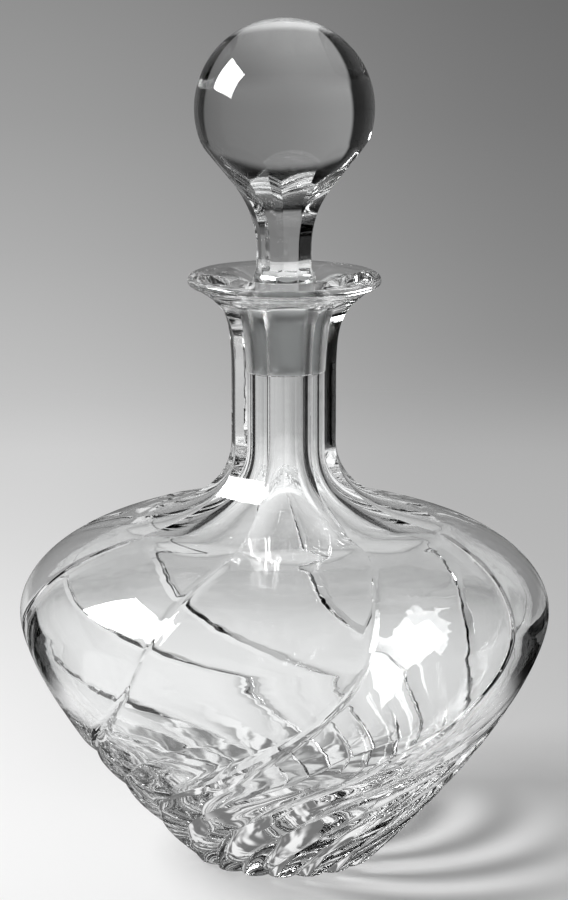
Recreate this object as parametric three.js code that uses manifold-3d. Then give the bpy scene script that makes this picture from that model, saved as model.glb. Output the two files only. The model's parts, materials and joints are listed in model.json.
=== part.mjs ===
// Brandy decanter of clear cut glass with a ball stopper.
// Millimetres, +Z up. The origin is the middle of the flat foot.
// Two loose pieces of solid glass: the hollow vessel and the stopper that lifts out of its neck.

import * as THREE from 'three';
import { mergeVertices } from 'three/addons/utils/BufferGeometryUtils.js';
import Module from 'manifold-3d';

// The vessel's outside, from the foot up
const FOOT_RADIUS = 29;
const FOOT_BEVEL = 0.8;
const BELLY_RADIUS = 85;
const BELLY_HEIGHT = 82;
const SHOULDER_RISE = 33.1;
const SHOULDER_INSET = 65;
const SHOULDER_END_RADIUS = 58;
const NECK_RADIUS = 18.2;
const BELLY_TO_NECK = 55;
const NECK_LENGTH = 21;
const FLARE_RISE = 29.4;
const LIP_RADIUS = 30.6;
const LIP_ROUNDING = 1.6;
const LIP_CROWN = 0.3;

// The nine flat flutes round the neck, and the corners between them. The corners are laid out
// by eye, so no two flutes are quite as wide. They are counted in degrees from the front.
const CORNER_DEGREES = [-62, -18, 29.5, 69.5, 110, 149.5, 188, 224, 257];
const NECK_FLAT_RADIUS = 16.3;
const FLUTE_FOOT_RADIUS = 53;
const FLUTE_FOOT_SLOPE = 0.16;
const FLUTE_TOP_RADIUS = 25;
const FLUTE_TOP_DROP = 1.9;

// The swirling cuts: a long one from each corner between two flutes, and a short one that
// leaves its neighbour low on the side and settles halfway between two long ones
const SWIRL_TURN = THREE.MathUtils.degToRad(-122);
const LINE_DEPTH = 1.1;
const CUT_DEPTH = 3.2;
const BRANCH_HEIGHT = 66;
const BRANCH_SETTLE = 14;

// The hollow inside
const WALL_THICKNESS = 5.5;
const BOWL_FLOOR = 13;
const BOWL_CROWN_RISE = 27.5;
const BOWL_CROWN_INSET = 65.5;
const BOWL_CROWN_RADIUS = 40;
const BORE_RADIUS = 8.3;
const MOUTH_RADIUS = 19;
const SEAT_DROP = 4.6;

// The stopper
const BALL_RADIUS = 28.3;
const SHANK_RADIUS = 9.3;
const SHANK_FLAT_RADIUS = 8.35;
const SHANK_STRAIGHT = 5.8;
const SHANK_SWEEP = 33;
const SHANK_FLUTE_COUNT = 9;
const SHANK_FIRST_CORNER = THREE.MathUtils.degToRad(-14);
const SHANK_FLUTE_SWEEP = 34;
const SHANK_FLUTE_LEAN = THREE.MathUtils.degToRad(38);
const COLLAR_RADIUS = 10.2;
const COLLAR_RISE = 2.6;
const COLLAR_SWEEP = 4.2;
const PLUG_LENGTH = 26;
const PLUG_TOP_RADIUS = 9.7;
const PLUG_END_RADIUS = 8.4;
const PLUG_BEVEL = 0.8;
const SEAT_CLEARANCE = 0.3;

// How far a cutting tool runs past the glass
const OVERRUN = 6;

// Sizes worked out from the ones above
const bowlRadius = BELLY_RADIUS - WALL_THICKNESS;
const neckBase = BELLY_HEIGHT + BELLY_TO_NECK;
const flareBase = neckBase + NECK_LENGTH;
const lipBottom = flareBase + FLARE_RISE;
const lipHeight = lipBottom + LIP_ROUNDING;
const rimHeight = lipHeight + LIP_ROUNDING + LIP_CROWN;
const lipArcRadius = LIP_RADIUS - LIP_ROUNDING;
const seatTop = rimHeight - SEAT_DROP;
const seatBottom = seatTop - PLUG_LENGTH;

// Where each flute of the neck starts, how wide it is and which way it faces
const cornerTurns = CORNER_DEGREES.map((degrees) => THREE.MathUtils.degToRad(degrees));
const fluteTurns = cornerTurns.map((turn, flute) => {
  const next = cornerTurns[flute + 1] ?? cornerTurns[0] + 2 * Math.PI;
  return next - turn;
});
const fluteFacings = cornerTurns.map((turn, flute) => turn + fluteTurns[flute] / 2);

// Shapes of curves, as powers and shares of the sizes that they follow
const SIDE_POWER = 1.47;
const BOWL_POWER = 1.5;
const BOWL_ROUNDNESS = 1.85;
const SHOULDER_HANDLE_SHARE = 0.55;
const NECK_HANDLE_SHARE = 0.58;
const FLUTE_HANDLE_SHARE = 0.36;
const FLUTE_NECK_HANDLE_SHARE = 0.76;
const FLUTE_LIP_REACH_SHARE = 0.2;
const FLUTE_LIP_DROP_SHARE = 0.55;
const FLARE_HANDLE_SHARE = 0.62;
const FLARE_LIP_HANDLE_SHARE = 0.55;
const FLARE_LIP_SLOPE_SHARE = 0.45;
const CROWN_HANDLE_SHARE = 0.5;
const BORE_HANDLE_SHARE = 0.7;
const MOUTH_HANDLE_SHARE = 0.5;

// The swirl's route: share of the height from the foot to the shoulder, share of the turn
const ROUTE_SHARES = [
  [0, 1], [0.11, 0.845], [0.2, 0.715], [0.29, 0.57], [0.38, 0.41], [0.46, 0.31],
  [0.55, 0.22], [0.65, 0.152], [0.75, 0.114], [0.87, 0.076], [0.95, 0.041], [1, 0],
];

// Where the columns of the outside lie between one long cut and the next
const COLUMN_SHARES = [0, 0.08, 0.22, 0.36, 0.5, 0.64, 0.78, 0.92];
const LINE_WIDTH_SHARE = 0.08;
const PAD_WIDTH_SHARE = 0.25;
const HALFWAY_SHARE = 0.5;
const SHORT_START_SHARE = 0.86;

// Steps along each stretch of the outlines
const SIDE_STEPS = 17;
const SHOULDER_STEPS = 7;
const NECK_STEPS = 7;
const FLARE_STEPS = 6;
const LIP_STEPS = 5;
const BOWL_STEPS = 10;
const FUNNEL_STEPS = 4;
const BALL_STEPS = 14;
const SWEEP_STEPS = 7;
const ROUND_COLUMNS = 48;
const BALL_COLUMNS = 64;

const glass = new THREE.MeshStandardMaterial({
  name: 'clear cut glass',
  color: 0xe9eef0,
  roughness: 0.04,
  metalness: 0,
});

const wasm = await Module();
wasm.setup();

// A closed geometry with shared vertices becomes a solid
function solidFrom(geometry) {
  const bare = geometry.clone();
  bare.deleteAttribute('normal');
  bare.deleteAttribute('uv');
  const merged = mergeVertices(bare);
  return new wasm.Manifold(new wasm.Mesh({
    numProp: 3,
    vertProperties: new Float32Array(merged.attributes.position.array),
    triVerts: new Uint32Array(merged.index.array),
  }));
}

function geometryFrom(solid) {
  const mesh = solid.getMesh();
  const geometry = new THREE.BufferGeometry();
  geometry.setAttribute('position', new THREE.BufferAttribute(mesh.vertProperties, 3));
  geometry.setIndex(new THREE.BufferAttribute(mesh.triVerts, 1));
  geometry.computeVertexNormals();
  return geometry;
}

const point = (radius, height) => new THREE.Vector2(radius, height);
const mix = (from, to, share) => from + (to - from) * share;

// Points along a curve, without its first one where the stretch before it ends there
function along(curve, steps, withFirst = false) {
  const points = curve.getPoints(steps);
  return withFirst ? points : points.slice(1);
}

// Height at which an outline that narrows upwards has the given radius
function heightAtRadius(points, radius) {
  const next = points.findIndex((place) => place.x <= radius);
  const before = points[next - 1];
  const share = (before.x - radius) / (before.x - points[next].x);
  return mix(before.y, points[next].y, share);
}

// A solid of revolution from an outline that starts and ends on the axis, bottom to top
function turned(outline, columns) {
  const geometry = new THREE.LatheGeometry(outline, columns);
  geometry.rotateX(Math.PI / 2);
  return solidFrom(geometry);
}

// The plain outside of the vessel, before anything is cut into it

const sideRadius = (height) => {
  const share = Math.max(0, 1 - height / BELLY_HEIGHT);
  return mix(BELLY_RADIUS, FOOT_RADIUS, share ** SIDE_POWER);
};

// The shoulder is a quarter of an ellipse that stops at the foot of the neck's sweep
const shoulderEndAngle = Math.acos(1 - (BELLY_RADIUS - SHOULDER_END_RADIUS) / SHOULDER_INSET);

function shoulderPoint(share) {
  const angle = shoulderEndAngle * share;
  return point(
    BELLY_RADIUS - SHOULDER_INSET * (1 - Math.cos(angle)),
    BELLY_HEIGHT + SHOULDER_RISE * Math.sin(angle),
  );
}

const shoulderEnd = shoulderPoint(1);
const shoulderSlope = SHOULDER_RISE / SHOULDER_INSET / Math.tan(shoulderEndAngle);
const shoulderHandle = (shoulderEnd.x - NECK_RADIUS) * SHOULDER_HANDLE_SHARE;

const neckSweep = new THREE.CubicBezierCurve(
  shoulderEnd,
  point(shoulderEnd.x - shoulderHandle, shoulderEnd.y + shoulderHandle * shoulderSlope),
  point(NECK_RADIUS, mix(neckBase, shoulderEnd.y, NECK_HANDLE_SHARE)),
  point(NECK_RADIUS, neckBase),
);

const flareReach = lipArcRadius - NECK_RADIUS;
const flareSweep = new THREE.CubicBezierCurve(
  point(NECK_RADIUS, flareBase),
  point(NECK_RADIUS, flareBase + FLARE_RISE * FLARE_HANDLE_SHARE),
  point(
    lipArcRadius - flareReach * FLARE_LIP_HANDLE_SHARE,
    lipBottom - flareReach * FLARE_LIP_HANDLE_SHARE * FLARE_LIP_SLOPE_SHARE,
  ),
  point(lipArcRadius, lipBottom),
);

const lipArc = new THREE.EllipseCurve(
  lipArcRadius, lipHeight, LIP_ROUNDING, LIP_ROUNDING, -Math.PI / 2, Math.PI / 2,
);

// How far the cuts have turned at a height, from the sampled route
const narrowing = [
  ...Array.from({ length: SIDE_STEPS }, (_, step) => shoulderPoint(step / SIDE_STEPS)),
  ...neckSweep.getPoints(NECK_STEPS * SIDE_STEPS),
];
const swirlTop = heightAtRadius(narrowing, FLUTE_FOOT_RADIUS);
const route = new THREE.SplineCurve(ROUTE_SHARES.map(([rise, turn]) => point(turn, rise)));
const routePoints = route.getPoints(ROUTE_SHARES.length * SIDE_STEPS);

function swirlAt(height) {
  const share = Math.min(1, height / swirlTop);
  const next = Math.max(1, routePoints.findIndex((place) => place.y >= share));
  const low = routePoints[next - 1];
  const high = routePoints[next];
  const part = (share - low.y) / (high.y - low.y);
  return SWIRL_TURN * mix(low.x, high.x, part);
}

// The short cuts leave the long ones at the branch height and are centred a little lower
function shortCutShare(height) {
  const settled = THREE.MathUtils.smoothstep(BRANCH_HEIGHT - height, 0, BRANCH_SETTLE);
  const back = THREE.MathUtils.smoothstep(height, BRANCH_HEIGHT, swirlTop);
  return mix(SHORT_START_SHARE, HALFWAY_SHARE, Math.max(settled, back));
}

// The columns keep to the cuts, so the middle column slides with the short cut
function columnAt(share, height) {
  const middle = shortCutShare(height);
  return share < HALFWAY_SHARE ? share * 2 * middle : mix(middle, 1, share * 2 - 1);
}

// A cut is a sharp V whose sides round over onto the pads beside it
const grooveShape = (distance, width) => Math.max(0, 1 - distance / width) ** 2;

function cutDepth(share, height) {
  const lowness = THREE.MathUtils.smoothstep(BRANCH_HEIGHT - height, 0, BRANCH_HEIGHT);
  const fade = 1 - THREE.MathUtils.smoothstep(height, swirlTop - LINE_DEPTH, swirlTop);
  const longDepth = mix(LINE_DEPTH, CUT_DEPTH, lowness) * fade;
  const longWidth = mix(LINE_WIDTH_SHARE, PAD_WIDTH_SHARE, Math.sqrt(lowness));
  const longShape = grooveShape(Math.min(share, 1 - share), longWidth);
  const shortShape = grooveShape(Math.abs(share - shortCutShare(height)), PAD_WIDTH_SHARE);
  return Math.max(longDepth * longShape, CUT_DEPTH * Math.sqrt(lowness) * lowness * shortShape);
}

// The outline that every column of the outside follows, foot to rim
function outsideOutline() {
  const outline = [point(sideRadius(0) - FOOT_BEVEL, 0)];
  for (let step = 0; step < SIDE_STEPS; step += 1) {
    const height = mix(FOOT_BEVEL, BELLY_HEIGHT, step / SIDE_STEPS);
    outline.push(point(sideRadius(height), height));
  }
  for (let step = 0; step <= SHOULDER_STEPS; step += 1) {
    outline.push(shoulderPoint(step / SHOULDER_STEPS));
  }
  outline.push(...along(neckSweep, NECK_STEPS));
  outline.push(...along(flareSweep, FLARE_STEPS, true));
  outline.push(...along(lipArc, LIP_STEPS));
  outline.push(point(MOUTH_RADIUS, rimHeight));
  return outline;
}

// Rings of vertices joined by triangles, closed by a fan at each end
function ringGeometry(rings, lowCentre, highCentre) {
  const columns = rings[0].length;
  const positions = [];
  const index = [];
  rings.flat().forEach((vertex) => positions.push(vertex.x, vertex.y, vertex.z));
  const low = rings.length * columns;
  const high = low + 1;
  positions.push(lowCentre.x, lowCentre.y, lowCentre.z, highCentre.x, highCentre.y, highCentre.z);
  for (let ring = 0; ring < rings.length - 1; ring += 1) {
    for (let column = 0; column < columns; column += 1) {
      const next = (column + 1) % columns;
      const a = ring * columns + column;
      const b = ring * columns + next;
      const c = a + columns;
      const d = b + columns;
      index.push(a, b, d, a, d, c);
    }
  }
  const last = (rings.length - 1) * columns;
  for (let column = 0; column < columns; column += 1) {
    const next = (column + 1) % columns;
    index.push(low, next, column, high, last + column, last + next);
  }
  const geometry = new THREE.BufferGeometry();
  geometry.setAttribute('position', new THREE.Float32BufferAttribute(positions, 3));
  geometry.setIndex(index);
  return geometry;
}

// Angles are measured from the front, which faces -Y, and grow towards +X
function placed(radius, angle, height) {
  return new THREE.Vector3(radius * Math.sin(angle), -radius * Math.cos(angle), height);
}

function outsideRing(place) {
  const ring = [];
  cornerTurns.forEach((corner, flute) => {
    for (const columnShare of COLUMN_SHARES) {
      const share = columnAt(columnShare, place.y);
      const angle = corner + fluteTurns[flute] * share + swirlAt(place.y);
      ring.push(placed(place.x - cutDepth(share, place.y), angle, place.y));
    }
  });
  return ring;
}

function vesselOutside() {
  const rings = outsideOutline().map(outsideRing);
  return solidFrom(ringGeometry(rings, placed(0, 0, 0), placed(0, 0, rimHeight)));
}

// A flute is cut by a block whose face keeps to one outline in height and is flat across
function fluteTools(outline, width, facings) {
  const geometry = new THREE.ExtrudeGeometry(new THREE.Shape(outline), {
    depth: width,
    bevelEnabled: false,
    steps: 1,
  });
  geometry.translate(0, 0, -width / 2);
  return facings.map((angle) => {
    const outward = placed(1, angle, 0);
    const up = placed(0, 0, 1);
    const across = new THREE.Vector3().crossVectors(outward, up);
    const turn = new THREE.Matrix4().makeBasis(outward, up, across);
    return solidFrom(geometry.clone().applyMatrix4(turn));
  });
}

// From the shoulder up the neck and out under the lip
function neckFluteOutline() {
  const footHandle = (FLUTE_FOOT_RADIUS - NECK_FLAT_RADIUS) * FLUTE_HANDLE_SHARE;
  const farRadius = BELLY_RADIUS;
  const farDrop = (farRadius - FLUTE_FOOT_RADIUS) * FLUTE_FOOT_SLOPE;
  const topHeight = lipBottom - FLUTE_TOP_DROP;
  const topReach = FLUTE_TOP_RADIUS - NECK_FLAT_RADIUS;
  const lower = new THREE.CubicBezierCurve(
    point(FLUTE_FOOT_RADIUS, swirlTop),
    point(FLUTE_FOOT_RADIUS - footHandle, swirlTop + footHandle * FLUTE_FOOT_SLOPE),
    point(NECK_FLAT_RADIUS, mix(neckBase, swirlTop, FLUTE_NECK_HANDLE_SHARE)),
    point(NECK_FLAT_RADIUS, neckBase),
  );
  const upper = new THREE.CubicBezierCurve(
    point(NECK_FLAT_RADIUS, flareBase),
    point(NECK_FLAT_RADIUS, flareBase + FLARE_RISE * FLARE_HANDLE_SHARE),
    point(
      NECK_FLAT_RADIUS + topReach * FLUTE_LIP_REACH_SHARE,
      topHeight - topReach * FLUTE_LIP_DROP_SHARE,
    ),
    point(FLUTE_TOP_RADIUS, topHeight),
  );
  return [
    point(farRadius, swirlTop - farDrop),
    point(farRadius, topHeight),
    ...along(upper, FLARE_STEPS, true).reverse(),
    ...along(lower, NECK_STEPS, true).reverse(),
  ];
}

// The hollow: bowl, throat, bore, tapered seat and the flared mouth
function hollowOutline() {
  const outline = [point(0, BOWL_FLOOR)];
  for (let step = 1; step <= BOWL_STEPS; step += 1) {
    const share = 1 - (step / BOWL_STEPS) ** 2;
    const reach = (1 - share ** BOWL_POWER) ** (1 / BOWL_ROUNDNESS);
    outline.push(point(bowlRadius * reach, mix(BELLY_HEIGHT, BOWL_FLOOR, share)));
  }
  const crownAngle = Math.acos(1 - (bowlRadius - BOWL_CROWN_RADIUS) / BOWL_CROWN_INSET);
  for (let step = 1; step <= SHOULDER_STEPS; step += 1) {
    const angle = crownAngle * step / SHOULDER_STEPS;
    outline.push(point(
      bowlRadius - BOWL_CROWN_INSET * (1 - Math.cos(angle)),
      BELLY_HEIGHT + BOWL_CROWN_RISE * Math.sin(angle),
    ));
  }
  const crown = outline[outline.length - 1];
  const slope = BOWL_CROWN_RISE / BOWL_CROWN_INSET / Math.tan(crownAngle);
  const handle = (crown.x - BORE_RADIUS) * CROWN_HANDLE_SHARE;
  const throat = new THREE.CubicBezierCurve(
    crown,
    point(crown.x - handle, crown.y + handle * slope),
    point(BORE_RADIUS, mix(neckBase, crown.y, BORE_HANDLE_SHARE)),
    point(BORE_RADIUS, neckBase),
  );
  outline.push(...along(throat, NECK_STEPS));
  outline.push(point(BORE_RADIUS, seatBottom - SEAT_CLEARANCE));
  outline.push(point(PLUG_END_RADIUS + SEAT_CLEARANCE, seatBottom));
  const seat = point(PLUG_TOP_RADIUS + SEAT_CLEARANCE, seatTop);
  const mouth = new THREE.CubicBezierCurve(
    seat,
    point(seat.x, mix(seatTop, rimHeight, MOUTH_HANDLE_SHARE)),
    point(mix(MOUTH_RADIUS, seat.x, MOUTH_HANDLE_SHARE), rimHeight),
    point(MOUTH_RADIUS, rimHeight),
  );
  outline.push(...along(mouth, FUNNEL_STEPS, true));
  outline.push(point(MOUTH_RADIUS, rimHeight + OVERRUN));
  outline.push(point(0, rimHeight + OVERRUN));
  return outline;
}

function makeVessel() {
  let solid = vesselOutside();
  for (const tool of fluteTools(neckFluteOutline(), 2 * FLUTE_FOOT_RADIUS, fluteFacings)) {
    solid = solid.subtract(tool);
  }
  solid = solid.subtract(turned(hollowOutline(), ROUND_COLUMNS));
  return new THREE.Mesh(geometryFrom(solid), glass);
}

// The stopper before its flutes: plug, collar, shank, sweep and ball.
// The sweep is an arc that touches both the shank and the ball.
const sweepCentreRadius = SHANK_RADIUS + SHANK_SWEEP;
const sweepDrop = Math.sqrt((BALL_RADIUS + SHANK_SWEEP) ** 2 - sweepCentreRadius ** 2);
const sweepAngle = Math.atan2(sweepDrop, sweepCentreRadius);
const collarTop = seatTop + COLLAR_RISE;
const sweepHeight = collarTop + COLLAR_SWEEP + SHANK_STRAIGHT;
const ballHeight = sweepHeight + sweepDrop;

function stopperOutline() {
  const outline = [point(0, seatBottom)];
  outline.push(point(PLUG_END_RADIUS - PLUG_BEVEL, seatBottom));
  outline.push(point(PLUG_END_RADIUS, seatBottom + PLUG_BEVEL));
  outline.push(point(PLUG_TOP_RADIUS, seatTop));
  outline.push(point(COLLAR_RADIUS, seatTop + COLLAR_RISE / 2));
  outline.push(point(SHANK_RADIUS, collarTop + COLLAR_SWEEP));
  const sweep = new THREE.EllipseCurve(
    sweepCentreRadius, sweepHeight, SHANK_SWEEP, SHANK_SWEEP, Math.PI, Math.PI - sweepAngle, true,
  );
  outline.push(...along(sweep, SWEEP_STEPS, true));
  const ball = new THREE.EllipseCurve(0, ballHeight, BALL_RADIUS, BALL_RADIUS, -sweepAngle, Math.PI / 2);
  outline.push(...along(ball, BALL_STEPS));
  outline[outline.length - 1].x = 0;
  return outline;
}

// From the collar up the shank and out onto the ball
function shankFluteOutline() {
  const farRadius = 2 * BALL_RADIUS;
  const collar = new THREE.EllipseCurve(
    SHANK_FLAT_RADIUS + COLLAR_SWEEP, collarTop + COLLAR_SWEEP, COLLAR_SWEEP, COLLAR_SWEEP,
    Math.PI, 3 * Math.PI / 2,
  );
  const sweep = new THREE.EllipseCurve(
    SHANK_FLAT_RADIUS + SHANK_FLUTE_SWEEP, sweepHeight, SHANK_FLUTE_SWEEP, SHANK_FLUTE_SWEEP,
    Math.PI - SHANK_FLUTE_LEAN, Math.PI,
  );
  const sweepEnd = sweep.getPoint(0);
  const farHeight = sweepEnd.y + (farRadius - sweepEnd.x) / Math.tan(SHANK_FLUTE_LEAN);
  return [
    point(farRadius, collarTop),
    point(farRadius, farHeight),
    ...along(sweep, SWEEP_STEPS, true),
    ...along(collar, FUNNEL_STEPS, true),
  ];
}

function makeStopper() {
  let solid = turned(stopperOutline(), BALL_COLUMNS);
  const facings = Array.from({ length: SHANK_FLUTE_COUNT }, (_, flute) => (
    SHANK_FIRST_CORNER + 2 * Math.PI * (flute + HALFWAY_SHARE) / SHANK_FLUTE_COUNT
  ));
  for (const tool of fluteTools(shankFluteOutline(), 4 * BALL_RADIUS, facings)) {
    solid = solid.subtract(tool);
  }
  return new THREE.Mesh(geometryFrom(solid), glass);
}

const decanter = new THREE.Group();

const vessel = makeVessel();
vessel.name = 'vessel';
decanter.add(vessel);

const stopper = makeStopper();
stopper.name = 'stopper';
decanter.add(stopper);

export default decanter;
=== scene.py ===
# %% [markdown]
# # A brandy decanter of clear cut glass
# The object is two loose pieces of thick, colourless glass. The vessel is a wide, low bowl
# that swirls down to a small foot. A ball stopper stands in its neck. This lesson builds both
# from the rules that a glass cutter works by: an outline that is turned round an axis, flat
# flutes that are ground round the neck, and cuts that swirl down the side.

# %% Load the frame that every piece is built in
import json
import math
import bpy
import numpy as np
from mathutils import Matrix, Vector

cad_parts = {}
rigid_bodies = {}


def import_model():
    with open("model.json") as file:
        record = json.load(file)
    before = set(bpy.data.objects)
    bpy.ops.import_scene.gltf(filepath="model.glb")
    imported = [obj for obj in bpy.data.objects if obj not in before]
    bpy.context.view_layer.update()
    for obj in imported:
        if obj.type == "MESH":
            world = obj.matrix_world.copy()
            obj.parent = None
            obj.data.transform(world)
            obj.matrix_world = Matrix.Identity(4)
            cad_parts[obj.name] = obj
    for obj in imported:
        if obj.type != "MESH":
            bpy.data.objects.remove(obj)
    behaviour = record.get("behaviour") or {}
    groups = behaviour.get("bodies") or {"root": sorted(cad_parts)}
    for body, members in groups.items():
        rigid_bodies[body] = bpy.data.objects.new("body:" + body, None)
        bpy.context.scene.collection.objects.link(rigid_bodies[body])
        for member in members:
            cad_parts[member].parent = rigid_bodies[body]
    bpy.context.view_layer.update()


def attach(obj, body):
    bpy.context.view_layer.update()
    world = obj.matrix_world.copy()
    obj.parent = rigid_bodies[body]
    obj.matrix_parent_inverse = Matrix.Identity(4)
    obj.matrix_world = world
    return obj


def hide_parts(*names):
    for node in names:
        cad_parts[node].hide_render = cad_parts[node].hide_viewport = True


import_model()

# %% [markdown]
# ## Sizes
# All sizes are in millimetres, because that is how a glass shop works. They become metres
# only when a mesh is made. The heights are added up from the foot. They could be typed where
# they are used, but a size with a name can be changed in one place.

# %% Sizes of the vessel's outside
MILLIMETRE = 0.001
foot_radius, foot_bevel = 29.0, 0.8
belly_radius, belly_height = 85.0, 82.0
side_power, side_softness = 1.47, 0.052
shoulder_rise, shoulder_inset, shoulder_end_radius = 33.1, 65.0, 58.0
neck_radius, neck_base, neck_length = 18.2, 137.0, 21.0
flare_base, flare_height = neck_base + neck_length, 29.4
lip_rounding, lip_crown, lip_arc_radius = 1.6, 0.3, 29.0
lip_bottom = flare_base + flare_height
lip_height = lip_bottom + lip_rounding
rim_height = lip_height + lip_rounding + lip_crown
print("the belly is at", belly_height, "mm and the rim at", round(rim_height, 2), "mm")

# %% Sizes of the flutes and of the swirling cuts
corner_degrees = [-62, -18, 29.5, 69.5, 110, 149.5, 188, 224, 257]
neck_flat_radius = 16.3
flute_foot_radius, flute_foot_slope = 53.0, 0.16
flute_top_radius, flute_top_drop = 25.0, 1.9
swirl_turn = math.radians(-122)
branch_height, branch_settle, branch_share = 66.0, 14.0, 0.86
line_depths = np.array([0.5, 0.5, 0.55, 0.45, 0.6, 0.7, 1.4, 1.7, 1.7])
line_half_widths = np.array([1.5, 1.5, 1.5, 1.5, 1.9, 1.9, 2.0, 2.1, 2.1])
line_fade = 1.0
cut_depth, cut_half_share = 3.2, 0.25
corners = np.radians(corner_degrees)
panel_widths = np.diff(np.append(corners, corners[0] + 2 * math.pi))
narrowest, widest = (round(math.degrees(w), 1) for w in (panel_widths.min(), panel_widths.max()))
print("panels:", len(corners), "from", narrowest, "to", widest, "degrees wide")

# %% Sizes of the hollow
bowl_radius, bowl_floor = 79.5, 13.0
bowl_power, bowl_softness, bowl_roundness = 1.5, 0.03, 1.85
crown_rise, crown_inset, crown_radius = 27.5, 65.5, 40.0
bore_radius, mouth_radius = 8.3, 19.0
mouth_handles = (14.5, rim_height), (10.0, 188.6)
seat_top = rim_height - 4.6
seat_bottom = seat_top - 26.0
seat_clearance = 0.3
plug_end_radius, plug_top_radius, plug_bevel = 8.4, 9.7, 0.8
print("the seat runs from", round(seat_bottom, 2), "to", round(seat_top, 2), "mm")

# %% [markdown]
# ## Outlines
# An outline is a row of points, each a distance from the axis and a height. A lathe would
# turn it into a round body. Here every column of the body follows the outline on its own, so
# that the cuts can be sunk into it and the whole can be twisted.


# %% Helpers for outlines
def mix(start, end, share):
    return start + (end - start) * share


def smooth_step(value, low, high):
    share = np.clip((value - low) / (high - low), 0, 1)
    return share * share * (3 - 2 * share)


def bezier(start, handle, other_handle, end, steps):
    """Points along a cubic curve, its two ends included."""
    t = np.linspace(0, 1, steps + 1)[:, None]
    p = [np.array(q, float) for q in (start, handle, other_handle, end)]
    u = 1 - t
    return p[0] * u**3 + 3 * p[1] * t * u**2 + 3 * p[2] * t**2 * u + p[3] * t**3


def evenly(points, steps):
    """The same line, cut into steps of equal length."""
    points = np.array(points, float)
    lengths = np.hypot(*np.diff(points, axis=0).T)
    walked = np.concatenate([[0], np.cumsum(lengths)])
    wanted = np.linspace(0, walked[-1], steps + 1)
    return np.stack([np.interp(wanted, walked, points[:, k]) for k in (0, 1)], axis=1)


def smooth_power(share, power, softness):
    """A power of a share from 0 to 1, rounded near 0 so that no crease shows in the glass."""
    low, high = softness**power, (1 + softness**2) ** (power / 2)
    return ((share**2 + softness**2) ** (power / 2) - low) / (high - low)


# %% The side and the shoulder, before anything is cut
def side_radius(height):
    share = np.clip(1 - np.asarray(height) / belly_height, 0, None)
    return mix(belly_radius, foot_radius, smooth_power(share, side_power, side_softness))


shoulder_end_angle = math.acos(1 - (belly_radius - shoulder_end_radius) / shoulder_inset)
angle = np.linspace(0, shoulder_end_angle, 60)
shoulder = np.stack([
    belly_radius - shoulder_inset * (1 - np.cos(angle)),
    belly_height + shoulder_rise * np.sin(angle),
], axis=1)
shoulder_slope = shoulder_rise / shoulder_inset / math.tan(shoulder_end_angle)
shoulder_top = shoulder[-1, 1]
print("the shoulder ends at", round(shoulder_top, 2), "mm")

# %% The sweeps of the neck and of the lip. An ease is how far a curve's handle reaches
SWEEP_STEPS, FLARE_STEPS = 240, 160
HANDLE_EASE, NECK_EASE, FLARE_EASE = 0.55, 0.58, 0.62
LIP_SLOPE = 0.45
shoulder_handle = (shoulder_end_radius - neck_radius) * HANDLE_EASE
neck_sweep = bezier(
    shoulder[-1],
    (shoulder_end_radius - shoulder_handle, shoulder_top + shoulder_handle * shoulder_slope),
    (neck_radius, mix(neck_base, shoulder_top, NECK_EASE)),
    (neck_radius, neck_base),
    SWEEP_STEPS,
)
lip_handle = (lip_arc_radius - neck_radius) * HANDLE_EASE
flare_sweep = bezier(
    (neck_radius, flare_base),
    (neck_radius, flare_base + flare_height * FLARE_EASE),
    (lip_arc_radius - lip_handle, lip_bottom - lip_handle * LIP_SLOPE),
    (lip_arc_radius, lip_bottom),
    FLARE_STEPS,
)
blank = np.concatenate([shoulder, neck_sweep[1:], flare_sweep])
swirl_top = float(np.interp(-flute_foot_radius, -neck_sweep[:, 0], neck_sweep[:, 1]))
print("the swirl ends at", round(swirl_top, 2), "mm")

# %% [markdown]
# ## The swirl
# Each long cut starts at a corner between two flutes, runs almost straight over the shoulder
# and then bends faster and faster round the bowl. A plain twist would bend evenly and look
# like a screw. So the route is drawn by a few pairs of height and turn, both as shares, and a
# smooth curve runs through them.

# %% The route of the swirl
route = np.array([
    [0, 1], [0.11, 0.845], [0.2, 0.715], [0.29, 0.57], [0.38, 0.41], [0.46, 0.31],
    [0.55, 0.22], [0.65, 0.152], [0.75, 0.114], [0.87, 0.076], [0.95, 0.041], [1, 0],
])


def smooth_route(points, steps):
    """A curve that passes through every point, with its slope taken from the neighbours."""
    padded = np.concatenate([points[:1], points, points[-1:]])
    t = np.linspace(0, 1, steps, endpoint=False)[:, None]
    parts = []
    for a, b, c, d in zip(padded, padded[1:], padded[2:], padded[3:]):
        m, n = (c - a) / 2, (d - b) / 2
        parts.append(
            (2 * b - 2 * c + m + n) * t**3 + (3 * c - 3 * b - 2 * m - n) * t**2 + m * t + b
        )
    return np.concatenate(parts + [points[-1:]])


fine_route = smooth_route(route, 40)


def swirl_at(height):
    share = np.clip(np.asarray(height) / swirl_top, 0, 1)
    return swirl_turn * np.interp(share, fine_route[:, 0], fine_route[:, 1])


print("halfway up, the swirl has turned", round(math.degrees(swirl_at(swirl_top / 2)), 1),
      "degrees")

# %% [markdown]
# ## The cuts
# A cut is a V that a wheel leaves. High on the side it is a thin line, shallow in front and
# deeper at the back. Low down it goes deep, and a second, shorter cut branches off and settles
# halfway between two long ones, so that eighteen rounded ribs reach the foot. A wheel could be
# taken away from the body as a solid, but that leaves ragged faces. Here the columns of the
# mesh slide with the short cut, so that an edge always lies in the bottom of each V.


# %% Where the cuts are and how deep they go
def short_cut_share(height):
    settled = smooth_step(branch_height - height, 0, branch_settle)
    back = smooth_step(height, branch_height, swirl_top)
    return mix(branch_share, 0.5, np.maximum(settled, back))


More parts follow.
